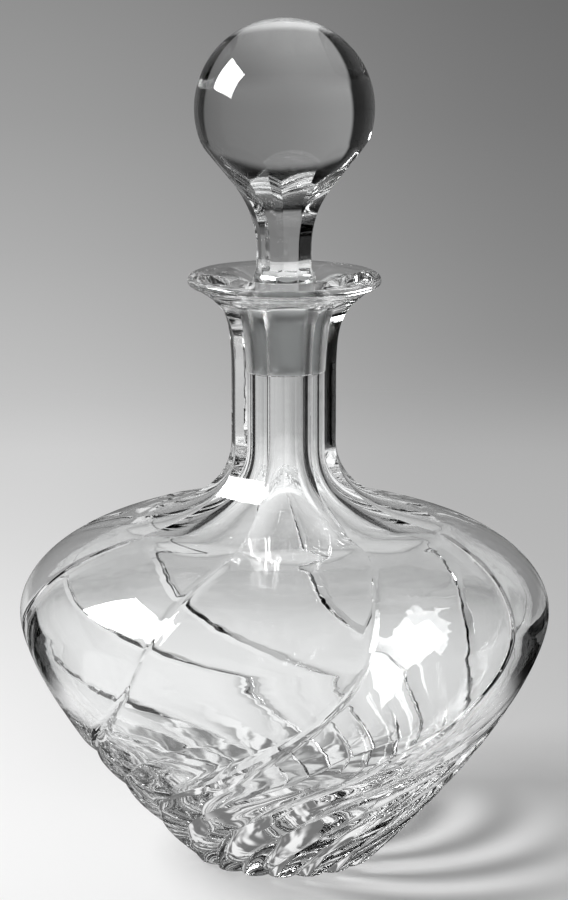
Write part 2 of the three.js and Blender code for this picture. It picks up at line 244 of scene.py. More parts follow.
def line_of(number, share):
    """Depth and half the width of the long cut that is nearer to a share of a panel."""
    nearer = np.where(share < 0.5, number, (number + 1) % len(corners))
    return line_depths[nearer], line_half_widths[nearer]


def half_share(half_width, low, radius, number):
    """Half the width of a long cut as a share of the panel: a thin line, wide where low."""
    return mix(half_width / (radius * panel_widths[number]), cut_half_share, np.sqrt(low))


def cut_at(share, height, radius, number):
    """How deep the glass is cut at a share of the way from one long cut to the next."""
    low = smooth_step(branch_height - height, 0, branch_height)
    fade = 1 - smooth_step(height, swirl_top - line_fade, swirl_top)
    depth, half_width = line_of(number, share)
    width = half_share(half_width, low, radius, number)
    reach = np.clip(1 - np.minimum(share, 1 - share) / width, 0, 1)
    long_cut = mix(depth, cut_depth, low) * fade * mix(reach, reach**2, np.sqrt(low))
    short_reach = np.clip(1 - np.abs(share - short_cut_share(height)) / cut_half_share, 0, 1)
    short_cut = cut_depth * np.sqrt(low) * low * short_reach**2
    return np.maximum(long_cut, short_cut)


# %% Where the columns of one panel lie: close together beside a cut, even between two
EDGE, NEAR_MIDDLE = 0.1, (0.46, 0.48, 0.5)
half = np.concatenate([np.linspace(0, EDGE, 4), np.linspace(EDGE, NEAR_MIDDLE[0], 11)[1:],
                       NEAR_MIDDLE[1:]])
columns = np.concatenate([half, 1 - half[-2::-1]])
print("columns in one panel:", len(columns) - 1)


def columns_at(height, radius, number):
    """Shares of the panel's width, with columns on the edges and in the bottom of each cut."""
    low = smooth_step(branch_height - height, 0, branch_height)
    depth, half_width = line_of(number, columns)
    edge = np.minimum(half_share(half_width, low, radius, number), EDGE)
    side = np.minimum(columns, 1 - columns)
    side = np.where(side < EDGE, side / EDGE * edge,
                    edge + (side - EDGE) / (0.5 - EDGE) * (0.5 - edge))
    share = np.where(columns < 0.5, side, 1 - side)
    middle = short_cut_share(height)
    return np.where(share < 0.5, share * 2 * middle, mix(middle, 1, share * 2 - 1))


# %% [markdown]
# ## One panel of the vessel
# The body is made of nine panels, each from one long cut to the next. They are laid out one by one,
# so no two are quite as wide. A panel is a slice of the outside, and behind it the slice of the
# hollow. Each column finds for itself where the flat of the flute leaves the round blank, above the
# shoulder and again under the lip. That puts a clean row of edges along the scalloped line, which
# cutting with another shape would not.

# %% The flat of a flute, straight in front of it
FOOT_EASE, FLAT_EASE = 0.36, 0.76
TOP_REACH, TOP_EASE = 0.2, 0.55


def neck_flute():
    handle = (flute_foot_radius - neck_flat_radius) * FOOT_EASE
    lower = bezier(
        (flute_foot_radius, swirl_top),
        (flute_foot_radius - handle, swirl_top + handle * flute_foot_slope),
        (neck_flat_radius, mix(neck_base, swirl_top, FLAT_EASE)),
        (neck_flat_radius, neck_base),
        SWEEP_STEPS,
    )
    top, reach = lip_bottom - flute_top_drop, flute_top_radius - neck_flat_radius
    upper = bezier(
        (neck_flat_radius, flare_base),
        (neck_flat_radius, flare_base + flare_height * FLARE_EASE),
        (neck_flat_radius + reach * TOP_REACH, top - reach * TOP_EASE),
        (flute_top_radius, top),
        FLARE_STEPS,
    )
    return np.concatenate([lower, upper])


def crossing(flat, round_body, first):
    """Index on the flat's line where it first dips under the round body, or comes out again."""
    under = flat[:, 0] < np.interp(flat[:, 1], round_body[:, 1], round_body[:, 0])
    found = np.flatnonzero(under)
    return found[0] if first else found[-1]


# %% Helpers that turn outlines into rows of points round the axis
def place(radius, angle, height):
    return np.stack([radius * np.sin(angle), -radius * np.cos(angle),
                     height + 0 * radius], axis=-1) * MILLIMETRE


def swirled_row(radius, height, number):
    share = columns_at(height, radius, number)
    return place(radius - cut_at(share, height, radius, number),
                 panel_widths[number] * share + swirl_at(height), height)


def straight_rows(lines, wide):
    """Rows from one line of (radius, height) per column, all with the same number of points."""
    lines = np.stack(lines, axis=1)
    return [place(row[:, 0], wide * columns, row[:, 1]) for row in lines]


def ring_rows(line, wide):
    return [place(np.full(len(columns), r), wide * columns, z) for r, z in line]


# %% The rows from the foot to just below the flutes
FOOT_RINGS = (0.0, 0.45, 0.8, 1.0)
BEVEL_OUT, BEVEL_UP = 0.7, 0.3
SIDE_ROWS, FLUTE_MARGIN = 112, 4.5
below_flutes = blank[blank[:, 1] < swirl_top - FLUTE_MARGIN]


def swirled_rows(number):
    foot = side_radius(0) - foot_bevel
    rows = [swirled_row(foot, 0.0, number) * (share, share, 1) for share in FOOT_RINGS]
    rows.append(swirled_row(foot + foot_bevel * BEVEL_OUT, foot_bevel * BEVEL_UP, number))
    side = [(side_radius(z), z) for z in np.linspace(foot_bevel, belly_height, 200)]
    for radius, height in evenly(np.concatenate([side, below_flutes[1:]]), SIDE_ROWS):
        rows.append(swirled_row(radius, height, number))
    return rows


# %% The rows over the scallops and up the flutes to the lip
SCALLOP_STEPS, FLUTE_ROWS, FLARE_ROWS = 6, 58, 5
CLEAR_OF_FLUTE = 0.05


def fluted_lines(wide):
    """For each column, its line over the shoulder to the flat, and from there to the lip."""
    flat = neck_flute()
    over, along = [], []
    for turn in wide * (columns - 0.5):
        leaning = flat * (1 / math.cos(turn), 1)
        low, high = crossing(leaning, blank, True), crossing(leaning, blank, False)
        z = np.linspace(below_flutes[-1, 1], leaning[low, 1], SCALLOP_STEPS)[1:-1]
        over.append(np.stack([np.interp(z, blank[:, 1], blank[:, 0]), z], axis=1))
        rest = flare_sweep[flare_sweep[:, 1] > leaning[high, 1] + CLEAR_OF_FLUTE]
        along.append(np.concatenate([
            evenly(leaning[low:high + 1], FLUTE_ROWS),
            evenly(np.concatenate([rest[:1], rest]), FLARE_ROWS),
        ]))
    return np.array(over), along


def outside_rows(number):
    wide = panel_widths[number]
    rows = swirled_rows(number)
    over, along = fluted_lines(wide)
    last_radius, last_height = below_flutes[-1]
    for k in range(over.shape[1]):
        radius, height = over[:, k, 0], over[:, k, 1]
        settling = (k + 1) / (over.shape[1] + 1)
        share = mix(columns_at(last_height, last_radius, number), columns, settling)
        angle = wide * share + swirl_at(height)
        rows.append(place(radius - cut_at(share, height, radius, number), angle, height))
    return rows + straight_rows(along, wide)


# %% The outline of the hollow, from the foot of the neck to the floor of the bowl
THROAT_EASE, CROWN_EASE = 0.7, 0.5


def hollow_line():
    crown_angle = math.acos(1 - (bowl_radius - crown_radius) / crown_inset)
    turn = np.linspace(crown_angle, 0, 18)
    crown = np.stack([bowl_radius - crown_inset * (1 - np.cos(turn)),
                      belly_height + crown_rise * np.sin(turn)], axis=1)
    slope = crown_rise / crown_inset / math.tan(crown_angle)
    handle = (crown[0, 0] - bore_radius) * CROWN_EASE
    throat = evenly(bezier(
        (bore_radius, neck_base),
        (bore_radius, mix(neck_base, crown[0, 1], THROAT_EASE)),
        (crown[0, 0] - handle, crown[0, 1] + handle * slope),
        crown[0],
        200,
    ), 26)
    share = np.linspace(0, 1, 400)
    reach = (1 - smooth_power(share, bowl_power, bowl_softness)) ** (1 / bowl_roundness)
    bowl = evenly(np.stack([bowl_radius * reach, mix(belly_height, bowl_floor, share)], axis=1), 34)
    return np.concatenate([throat[1:], crown[1:], bowl[1:]])


# %% The outline of the lip, the mouth, the seat and the bore, with the hollow below them
def inside_line():
    arc = np.linspace(-math.pi / 2, math.pi / 2, 13)[1:]
    lip = np.stack([lip_arc_radius + lip_rounding * np.cos(arc),
                    lip_height + lip_rounding * np.sin(arc)], axis=1)
    mouth = bezier((mouth_radius, rim_height), *mouth_handles,
                   (plug_top_radius + seat_clearance, seat_top), 12)
    seat = evenly([mouth[-1], (plug_end_radius + seat_clearance, seat_bottom)], 8)
    bore = evenly([(bore_radius, seat_bottom - seat_clearance), (bore_radius, neck_base)], 8)
    parts = [lip, mouth, seat[1:], bore, hollow_line()]
    ground_from = len(lip) + len(mouth)
    return np.concatenate(parts), (ground_from, ground_from + len(seat) - 1)


# %% A panel as a mesh, with its ground rows marked
def panel_mesh(name, rows, ground):
    """An open strip of quads. The faces between the rows named by ground carry a mark."""
    wide = len(rows[0])
    vertices = np.concatenate(rows)
    corner = np.arange(len(rows) - 1)[:, None] * wide + np.arange(wide - 1)[None, :]
    faces = np.stack([corner, corner + 1, corner + wide + 1, corner + wide], axis=-1)
    mesh = bpy.data.meshes.new(name)
    mesh.from_pydata(vertices.tolist(), [], faces.reshape(-1, 4).tolist())
    mark = mesh.attributes.new("ground", "BOOLEAN", "FACE")
    marks = np.zeros((len(rows) - 1, wide - 1), bool)
    marks[ground[0]:ground[1]] = True
    mark.data.foreach_set("value", marks.ravel())
    return mesh


inner_line, seat_rows = inside_line()
vessel_panels = []
for number, wide in enumerate(panel_widths):
    outside = outside_rows(number)
    rows = outside + ring_rows(inner_line, wide)
    ground = tuple(len(outside) + row - 1 for row in seat_rows)
    vessel_panels.append(panel_mesh(f"vessel_panel_{number}", rows, ground))
print("rows in one panel:", len(rows))

# %% [markdown]
# ## The glass
# Clear glass has no colour of its own: all that the eye sees is what it bends and mirrors.
# A flat glass shader would look like a computer's glass. What makes it look handled is small:
# the polish is never quite even, and the surface has very shallow waves. The part of the
# stopper that sits in the neck, and the neck where it sits, are ground with fine grit, so that
# they grip. They look like frost.


# %% Helpers for node trees
def add(tree, kind, values=(), **settings):
    node = tree.nodes.new(kind)
    for name, value in settings.items():
        setattr(node, name, value)
    for name, value in dict(values).items():
        if isinstance(value, bpy.types.NodeSocket):
            tree.links.new(value, node.inputs[name])
        else:
            node.inputs[name].default_value = value
    return node


def maths(tree, operation, *values):
    """One step of arithmetic on sockets or plain numbers."""
    return add(tree, "ShaderNodeMath", dict(enumerate(values)), operation=operation).outputs[0]


def shader(name):
    material = bpy.data.materials.new(name)
    material.use_nodes = True
    tree = material.node_tree
    return material, tree, tree.nodes["Principled BSDF"]


# %% Clear glass and ground glass
CLEAR, FROST = (0.985, 0.99, 0.99), (0.62, 0.63, 0.63)
BENDING = 1.53
WIPES_PER_METRE, WIPE_CONTRAST = 38.0, (0.35, 0.75)
FLATTENED = (1.0, 1.0, 2.5)


def glass(name, tint, roughness, ripples_per_metre, ripple):
    """Clear glass whose polish varies a little and whose surface has faint ripples."""
    material, tree, body = shader(name)
    where = add(tree, "ShaderNodeTexCoord").outputs["Object"]
    body.inputs["Base Color"].default_value = (*tint, 1)
    body.inputs["Transmission Weight"].default_value = 1.0
    body.inputs["IOR"].default_value = BENDING
    wipe = add(tree, "ShaderNodeTexNoise", {
        "Vector": where, "Scale": WIPES_PER_METRE, "Detail": 5.0,
    })
    polish = add(tree, "ShaderNodeMapRange", {
        "Value": wipe.outputs["Fac"],
        "From Min": WIPE_CONTRAST[0], "From Max": WIPE_CONTRAST[1],
        "To Min": roughness[0], "To Max": roughness[1],
    })
    tree.links.new(polish.outputs["Result"], body.inputs["Roughness"])
    rings = add(tree, "ShaderNodeMapping", {"Vector": where, "Scale": FLATTENED})
    waves = add(tree, "ShaderNodeTexNoise", {
        "Vector": rings.outputs[0], "Scale": ripples_per_metre, "Detail": 2.0,
    })
    bump = add(tree, "ShaderNodeBump", {
        "Height": waves.outputs["Fac"], "Strength": ripple, "Distance": 0.001,
    })
    tree.links.new(bump.outputs["Normal"], body.inputs["Normal"])
    print(name, "has a roughness from", roughness[0], "to", roughness[1])
    return material


clear_glass = glass("clear cut glass", CLEAR, (0.0, 0.012), 60.0, 0.05)
ball_glass = glass("clear stopper glass", CLEAR, (0.0, 0.01), 60.0, 0.02)
ground_glass = glass("ground glass", FROST, (0.3, 0.42), 2600.0, 0.08)

# %% [markdown]
# ## Setting the panels round the axis
# Geometry Nodes set the panels round the axis, join them, weld the seams and give the faces
# their glass. The panels could be turned and joined by hand, but the same tree makes the
# vessel from nine panels of its own and the stopper from nine copies of one. It also moves the
# surface in and out by a few hundredths of a millimetre, as hand polishing does, except at the
# foot, which has to stand flat.

# %% The tree's inputs, by name
TREE_INPUTS = (
    ("Panels", "NodeSocketCollection", None),
    ("Weld distance", "NodeSocketFloat", 0.000004),
    ("Wave height", "NodeSocketFloat", 0.00005),
    ("Waves per metre", "NodeSocketFloat", 30.0),
    ("Seed", "NodeSocketFloat", 3.0),
    ("Clear glass", "NodeSocketMaterial", None),
    ("Ground glass", "NodeSocketMaterial", None),
)
STILL_BELOW, WAVED_ABOVE = 0.001, 0.006


def empty_tree():
    tree = bpy.data.node_groups.new("Set panels round the axis", "GeometryNodeTree")
    face = tree.interface
    face.new_socket("Guide", in_out="INPUT", socket_type="NodeSocketGeometry")
    for name, kind, value in TREE_INPUTS:
        socket = face.new_socket(name, in_out="INPUT", socket_type=kind)
        if value is not None:
            socket.default_value = value
    face.new_socket("Body", in_out="OUTPUT", socket_type="NodeSocketGeometry")
    return tree


# %% The tree that sets panels round the axis
def hand_polish(tree, given):
    """How far each point moves, along its normal."""
    here = add(tree, "GeometryNodeInputPosition").outputs[0]
    waves = add(tree, "ShaderNodeTexNoise", {
        "Vector": here, "W": given["Seed"], "Scale": given["Waves per metre"], "Detail": 1.0,
    }, noise_dimensions="4D")
    centred = maths(tree, "SUBTRACT", waves.outputs["Fac"], 0.5)
    height = add(tree, "ShaderNodeSeparateXYZ", {"Vector": here}).outputs["Z"]
    off_floor = add(tree, "ShaderNodeMapRange", {
        "Value": height, "From Min": STILL_BELOW, "From Max": WAVED_ABOVE,
    })
    sized = maths(tree, "MULTIPLY", centred, given["Wave height"])
    kept = maths(tree, "MULTIPLY", sized, off_floor.outputs["Result"])
    return add(tree, "ShaderNodeVectorMath", {
        0: add(tree, "GeometryNodeInputNormal").outputs[0], "Scale": kept,
    }, operation="SCALE").outputs[0]


def round_axis_tree():
    tree = empty_tree()
    given = add(tree, "NodeGroupInput").outputs
    panels = add(tree, "GeometryNodeCollectionInfo", {
        "Collection": given["Panels"], "Separate Children": True, "Reset Children": True,
    })
    start = add(tree, "GeometryNodeInputNamedAttribute", {"Name": "start"}, data_type="FLOAT")
    spin = add(tree, "ShaderNodeCombineXYZ", {"Z": start.outputs["Attribute"]})
    copies = add(tree, "GeometryNodeInstanceOnPoints", {
        "Points": given["Guide"], "Instance": panels.outputs[0], "Pick Instance": True,
        "Rotation": spin.outputs[0],
    })
    joined = add(tree, "GeometryNodeRealizeInstances", {"Geometry": copies.outputs[0]})
    welded = add(tree, "GeometryNodeMergeByDistance", {
        "Geometry": joined.outputs[0], "Distance": given["Weld distance"],
    })
    waved = add(tree, "GeometryNodeSetPosition", {
        "Geometry": welded.outputs[0], "Offset": hand_polish(tree, given),
    })
    smooth = add(tree, "GeometryNodeSetShadeSmooth", {"Geometry": waved.outputs[0]})
    clear = add(tree, "GeometryNodeSetMaterial", {
        "Geometry": smooth.outputs[0], "Material": given["Clear glass"],
    })
    mark = add(tree, "GeometryNodeInputNamedAttribute", {"Name": "ground"}, data_type="BOOLEAN")
    frosted = add(tree, "GeometryNodeSetMaterial", {
        "Geometry": clear.outputs[0], "Selection": mark.outputs["Attribute"],
        "Material": given["Ground glass"],
    })
    tree.links.new(frosted.outputs[0], add(tree, "NodeGroupOutput").inputs[0])
    return tree


round_axis = round_axis_tree()
print("the tree has", len(round_axis.nodes), "nodes")

# %% Turn panels into a finished body
CRISP_ANGLE = math.radians(24)


def put_in_scene(name, data):
    thing = bpy.data.objects.new(name, data)
    bpy.context.scene.collection.objects.link(thing)
    return thing


def body_from_panels(meshes, starts, name, **inputs):
    """Runs the tree on a guide point per panel and keeps a plain mesh with crisp edges."""
    panels = bpy.data.collections.new(name + "_panels")
    for mesh in meshes:
        panels.objects.link(bpy.data.objects.new(mesh.name, mesh))
    guide_mesh = bpy.data.meshes.new(name + "_guide")
    guide_mesh.from_pydata([(0, 0, 0)] * len(starts), [], [])
    turn = guide_mesh.attributes.new("start", "FLOAT", "POINT")
    turn.data.foreach_set("value", starts)
    guide = put_in_scene(name + "_guide", guide_mesh)
    modifier = guide.modifiers.new("Panels", "NODES")
    modifier.node_group = round_axis
    inputs["Panels"] = panels
    sockets = {s.name: s.identifier for s in round_axis.interface.items_tree
               if s.in_out == "INPUT"}
    for label, value in inputs.items():
        modifier[sockets[label.replace("_", " ")]] = value
    guide.update_tag()
    evaluated = guide.evaluated_get(bpy.context.evaluated_depsgraph_get())
    mesh = bpy.data.meshes.new_from_object(evaluated)
    bpy.data.objects.remove(guide)
    for panel in list(panels.objects):
        bpy.data.objects.remove(panel)
    bpy.data.collections.remove(panels)
    mesh.name = name
    mesh.set_sharp_from_angle(angle=CRISP_ANGLE)
    body = put_in_scene(name, mesh)
    size = [round(v * 1000, 1) for v in body.dimensions]
    print(name, "has", len(mesh.polygons), "faces and measures", size, "mm")
    return body


vessel = body_from_panels(
    vessel_panels, corners, "decanter_vessel",
    Clear_glass=clear_glass, Ground_glass=ground_glass,
)

# %% [markdown]
# ## The stopper
# The stopper is a ball on a short shank. Its sweep is an arc that touches both. Nine flats run
# up the shank and out on to the ball. Under them a collar and a tapered plug go down into the
# neck. It could be a sphere and a cylinder joined together, but then the flats would end in
# ragged faces. So it is made as the vessel is, and its flats are even, so one panel serves
# for all.

# %% Sizes of the stopper
flat_count, first_flat_corner = 9, math.radians(-14)
flat_turn = 2 * math.pi / flat_count
ball_radius, shank_radius, shank_flat_radius = 28.3, 9.3, 8.35
shank_straight, shank_sweep, flat_sweep = 5.8, 33.0, 34.0
flat_lean, flat_runs_on = math.radians(38), 12.0
collar_radius, collar_rise, collar_sweep = 10.2, 2.6, 4.2
collar_top = seat_top + collar_rise
sweep_height = collar_top + collar_sweep + shank_straight
sweep_centre = shank_radius + shank_sweep
sweep_drop = math.sqrt((ball_radius + shank_sweep) ** 2 - sweep_centre**2)
sweep_angle = math.atan2(sweep_drop, sweep_centre)
ball_height = sweep_height + sweep_drop
collar_edge = (collar_radius, seat_top + collar_rise / 2)
print("the ball's centre is at", round(ball_height, 2), "mm")


# %% The stopper's outline and the flats of its shank
def arc(centre, radius, start, end, steps):
    turn = np.linspace(start, end, steps + 1)
    return np.stack([centre[0] + radius * np.cos(turn), centre[1] + radius * np.sin(turn)], axis=1)


def shank_flat():
    collar = arc((shank_flat_radius + collar_sweep, collar_top + collar_sweep), collar_sweep,
                 1.5 * math.pi, math.pi, 60)
    sweep = arc((shank_flat_radius + flat_sweep, sweep_height), flat_sweep,
                math.pi, math.pi - flat_lean, 200)
    far = sweep[-1] + (flat_runs_on, flat_runs_on / math.tan(flat_lean))
    return np.concatenate([collar, sweep, evenly([sweep[-1], far], 80)[1:]])


def stopper_blank():
    neck = np.array([collar_edge, (shank_radius, collar_top + collar_sweep)])
    sweep = arc((sweep_centre, sweep_height), shank_sweep, math.pi, math.pi - sweep_angle, 160)
    ball = arc((0, ball_height), ball_radius, -sweep_angle, math.pi / 2, 400)
    return np.concatenate([neck, sweep, ball[1:]])


# %% The lines of one panel's columns, from the collar over the flat to the top of the ball
COLLAR_ROWS, FLAT_ROWS, BALL_ROWS = 3, 44, 62
CLEAR_OF_FLAT = 0.02


def stopper_lines():
    body = stopper_blank()
    flat = shank_flat()
    widest = int(np.argmax(body[:, 0]))
    lines = []
    for turn in flat_turn * (columns - 0.5):
        leaning = flat * (1 / math.cos(turn), 1)
        low = crossing(leaning, body[:widest], True)
        high = crossing(leaning, body[:widest], False)
        start, end = leaning[low], leaning[high]
        after = body[body[:, 1] > end[1] + CLEAR_OF_FLAT]
        lines.append(np.concatenate([
            evenly(np.array([collar_edge, start]), COLLAR_ROWS),
            evenly(leaning[low:high + 1], FLAT_ROWS)[1:],
            evenly(np.concatenate([[end], after]), BALL_ROWS)[1:],
        ]))
    return lines


# %% The plug, one panel of the stopper, then the whole
bevel_start = (plug_end_radius - plug_bevel, seat_bottom)
bevel_end = (plug_end_radius, seat_bottom + plug_bevel)
plug_end = np.concatenate([
    evenly([(0, seat_bottom), bevel_start], 4), evenly([bevel_start, bevel_end], 2)[1:],
])
plug = np.concatenate([plug_end, evenly([bevel_end, (plug_top_radius, seat_top)], 10)[1:]])
stopper_rows = ring_rows(plug, flat_turn) + straight_rows(stopper_lines(), flat_turn)
stopper = body_from_panels(
    [panel_mesh("stopper_panel", stopper_rows, (len(plug_end) - 1, len(plug) - 1))],
    first_flat_corner + flat_turn * np.arange(flat_count), "decanter_stopper",
    Clear_glass=ball_glass, Ground_glass=ground_glass, Wave_height=0.00002,
)

# %% [markdown]
# ## Two bodies that move apart
# The stopper lifts out of the neck. Each piece stands for one solid of the frame and rides on
# the body of the same name, so it moves as that solid does and nothing has to be posed by hand.

# %% Tie the two bodies to the frame
for piece, body in ((vessel, "vessel"), (stopper, "stopper")):
    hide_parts(body)
    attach(piece, body)
    piece.cycles.is_caustics_caster = True
    print(piece.name, "rides on", body)

# %% [markdown]
# ## The set
# The decanter stands on a pale table that fades into a grey room. One large soft lamp stands
# on the left. Glass has hardly any look of its own, so the room is made for it: behind the
# decanter it is pale, and at both sides there is a dark gap. The black edges in the glass are
# these gaps, bent into view. Black cards could stand there, as in a studio. Here the gaps are
# tones of the table and of the room, which only show and don't light anything.


# %% Helpers for tones
def step(tree, value, low, high, start=0.0, end=1.0):
    """A soft step: start where the value is below low, and end where it is above high."""
    return add(tree, "ShaderNodeMapRange", {
        "Value": value, "From Min": low, "From Max": high, "To Min": start, "To Max": end,
    }, interpolation_type="SMOOTHSTEP").outputs["Result"]


def product(tree, value, *others):
    for other in others:
        value = maths(tree, "MULTIPLY", value, other)
    return value


def either(tree, share, tone, other=1.0):
    """The tone where share is one, and the other tone where share is zero."""
    return maths(tree, "MULTIPLY_ADD", share, maths(tree, "SUBTRACT", tone, other), other)


def degrees_of(tree, rise, run):
    return maths(tree, "DEGREES", maths(tree, "ARCTAN2", rise, run))


def ramp(tree, value, stops):
    """A ramp of greys over pairs of (value, grey), in rising order."""
    low, high = stops[0][0], stops[-1][0]
    scaled = add(tree, "ShaderNodeMapRange", {"Value": value, "From Min": low, "From Max": high})
    node = add(tree, "ShaderNodeValToRGB", {"Fac": scaled.outputs["Result"]})
    elements = node.color_ramp.elements
    while len(elements) < len(stops):
        elements.new(0.5)
    for element, (at, grey) in zip(elements, stops):
        element.position = (at - low) / (high - low)
    for element, (at, grey) in zip(elements, stops):
        element.color = (grey, grey, grey, 1)
    return node.outputs["Color"]


# %% [markdown]
# ## What a ray has been through
# A ray that ends on the table or in the room comes straight from the camera, off the outside of the
# glass, or through it. The Light Path node tells which. Through the ball or the shank it has
# crossed two surfaces, and through the hollow bowl four or more. The outside mirrors only a little,
# and what it mirrors is painted dimmer still; thick solid glass is painted to show a darker room
# than a thin wall. So each kind of ray gets a painted tone of its own: painted light and painted
# shade in what the glass mirrors and bends. One set of tones for all would make the glass look
# flat.

# %% Sort the rays, each kind as one or zero
# Painted tones: they dim or lighten what the glass mirrors and bends.
OUTSIDE_TONE, STRAIGHT_TONE = 0.14, 0.345
ENTERED, CROSSED_TWICE, MIRRORED = 0.5, 2.5, 0.5


def sort_rays(tree):
    path = add(tree, "ShaderNodeLightPath").outputs
    crossings, mirrorings = path["Transmission Depth"], path["Glossy Depth"]
    mirrored = maths(tree, "MINIMUM", mirrorings, 1.0)
    return {
        "camera": path["Is Camera Ray"],
        "glass": maths(tree, "MAXIMUM", path["Is Glossy Ray"], path["Is Transmission Ray"]),
        "outside": maths(tree, "LESS_THAN", crossings, ENTERED),
        "solid": maths(tree, "LESS_THAN", crossings, CROSSED_TWICE),
        "mirrored": mirrored,
        "inside": product(tree, mirrored, maths(tree, "GREATER_THAN", crossings, ENTERED)),
        "straight": maths(tree, "LESS_THAN", mirrorings, MIRRORED),
    }


def painted_tone_of_kind(tree, rays, straight, solid_tone, hollow_tone):
    """Painted tones for rays off the outside, straight through, and mirrored inside the glass."""
    inside_tone = either(tree, rays["solid"], solid_tone, hollow_tone)
    return product(tree, either(tree, rays["outside"], OUTSIDE_TONE),
                   either(tree, straight, STRAIGHT_TONE),
                   either(tree, rays["inside"], inside_tone))


# %% The dark gaps at both sides, by the direction from the decanter in degrees
GAP_LEFT, GAP_RIGHT = (-90.0, -39.0), (54.5, 98.0)
GAP_BLUR = (3, 1)
WIDER_MIRRORED = 35.0


def gaps(tree, x, y, mirrored):
    """Zero in the dark gaps and one elsewhere. A mirrored ray finds the right one wider."""
    beyond, within = GAP_BLUR
    degrees = degrees_of(tree, x, y)
    shifted = maths(tree, "MULTIPLY_ADD", mirrored, WIDER_MIRRORED, degrees)
    sides = []
    for (start, end), entering in ((GAP_LEFT, degrees), (GAP_RIGHT, shifted)):
        sides.append(maths(
            tree, "MAXIMUM", step(tree, entering, start - beyond, start + within, 1.0, 0.0),
            step(tree, degrees, end - within, end + beyond),
        ))
    return product(tree, *sides)


# %% [markdown]
# ## The table
# The table is matt and pale. Close to the lamp it would be far brighter than elsewhere, and its
# edge would show against the room. So the lamp's light is only a part of what the camera sees: a
# soft tone is added that runs from the left to the right and is lower under the lamp, and towards
# its edge the table fades away. This added tone is painted light: brighter on the left, towards the
# lamp, lifted at the front on the right, where the decanter's shadow falls, and darker at the back
# on the right. A step is given by where it begins and ends, in metres, and then by its tone before
# and after.

# %% The tone that the camera sees, with painted light by the side
TABLE_SEEN = [(0.0, 0.34), (0.12, 0.34), (0.25, 0.36), (0.4, 0.38), (0.6, 0.42), (0.9, 0.36)]
RIGHT_TONE_TO_THE_BACK = (0.02, 0.13, 1.3, 0.8)
LEFT_TO_RIGHT, LEFT_TONE = (-0.13, 0.08), 1.2
LAMP_RIGHT_END, LAMP_LEFT_END = (-0.28, -0.14, 1.0, 0.0), (-0.75, -0.4)
LAMP_HALF_LENGTH = (0.15, 0.5, 1.0, 0.0)
UNDER_LAMP_TONE = 0.4


def painted_side_light(tree, axes):
    # The painted light is lowered under the lamp, where the lamp's own light is brightest.
    under_lamp = product(tree, step(tree, axes["X"], *LAMP_RIGHT_END),
                         step(tree, axes["X"], *LAMP_LEFT_END),
                         step(tree, maths(tree, "ABSOLUTE", axes["Y"]), *LAMP_HALF_LENGTH))
    # Painted light on the right: lifted at the front, where the decanter's shadow falls, and lower
    # at the back.
    right_tone = step(tree, axes["Y"], *RIGHT_TONE_TO_THE_BACK)
    return product(tree, step(tree, axes["X"], *LEFT_TO_RIGHT, LEFT_TONE, right_tone),
                   either(tree, under_lamp, UNDER_LAMP_TONE))


# %% [markdown]
# The cut glass also gathers light into soft arms that curl away from the foot on the right.
# The render could find them by following light through the glass, but it finds only a part,
# and grainily. So they are drawn as a spiral wave of light and dark round the foot.

# %% The bright arms on the table, painted as caustic light and shade
ARM_TWIST, ARM_START, ARM_SPACING, ARM_TONE = 830.0, 3.6, 31.0, 1.4
ARM_LENGTH, ARM_SIDE = (0.065, 0.11, 1.0, 0.0), (0.0, 0.04)
ARM_LAST = (36.0, 54.0, 1.0, 0.0)


def painted_caustic_arms(tree, axes, away):
    around_foot = degrees_of(tree, axes["Y"], axes["X"])
    curled = maths(tree, "MULTIPLY_ADD", away, ARM_TWIST, ARM_START)
    unwound = maths(tree, "SUBTRACT", around_foot, curled)
    wave = maths(tree, "COSINE", maths(tree, "MULTIPLY", unwound, 2 * math.pi / ARM_SPACING))
    reach = product(tree, step(tree, away, *ARM_LENGTH), step(tree, axes["X"], *ARM_SIDE),
                    step(tree, around_foot, *ARM_LAST))
    return either(tree, product(tree, wave, reach), ARM_TONE)


# %% The tone that the glass shows of the table, all painted light and shade
# A pool of painted light round the foot stands for light that comes through the glass. Painted
# caustic streaks lie close round the foot, the gaps are dark, and the table is painted darker
# towards the right and far away.
TABLE_IN_GLASS = [(0.0, 0.6), (0.05, 0.62), (0.1, 0.8), (0.15, 0.95), (0.25, 0.9), (0.4, 0.84),
                  (0.6, 0.72), (0.9, 0.68)]
GAPS_FROM, MIRRORED_GAPS_TO = (0.12, 0.2), (0.35, 0.5, 1.0, 0.0)
STREAKS_PER_METRE, STREAK_TONES = 70.0, (0.4, 0.6, 0.3, 1.5)
STREAKED_TO = (0.07, 0.12, 1.0, 0.0)
TABLE_INSIDE_SOLID, TABLE_INSIDE_HOLLOW = 1.1, 1.4
FAR_FROM, FAR_TONE = (0.3, 0.7), 0.75
ACROSS = (-0.1, 0.24, 1.06, 0.66)


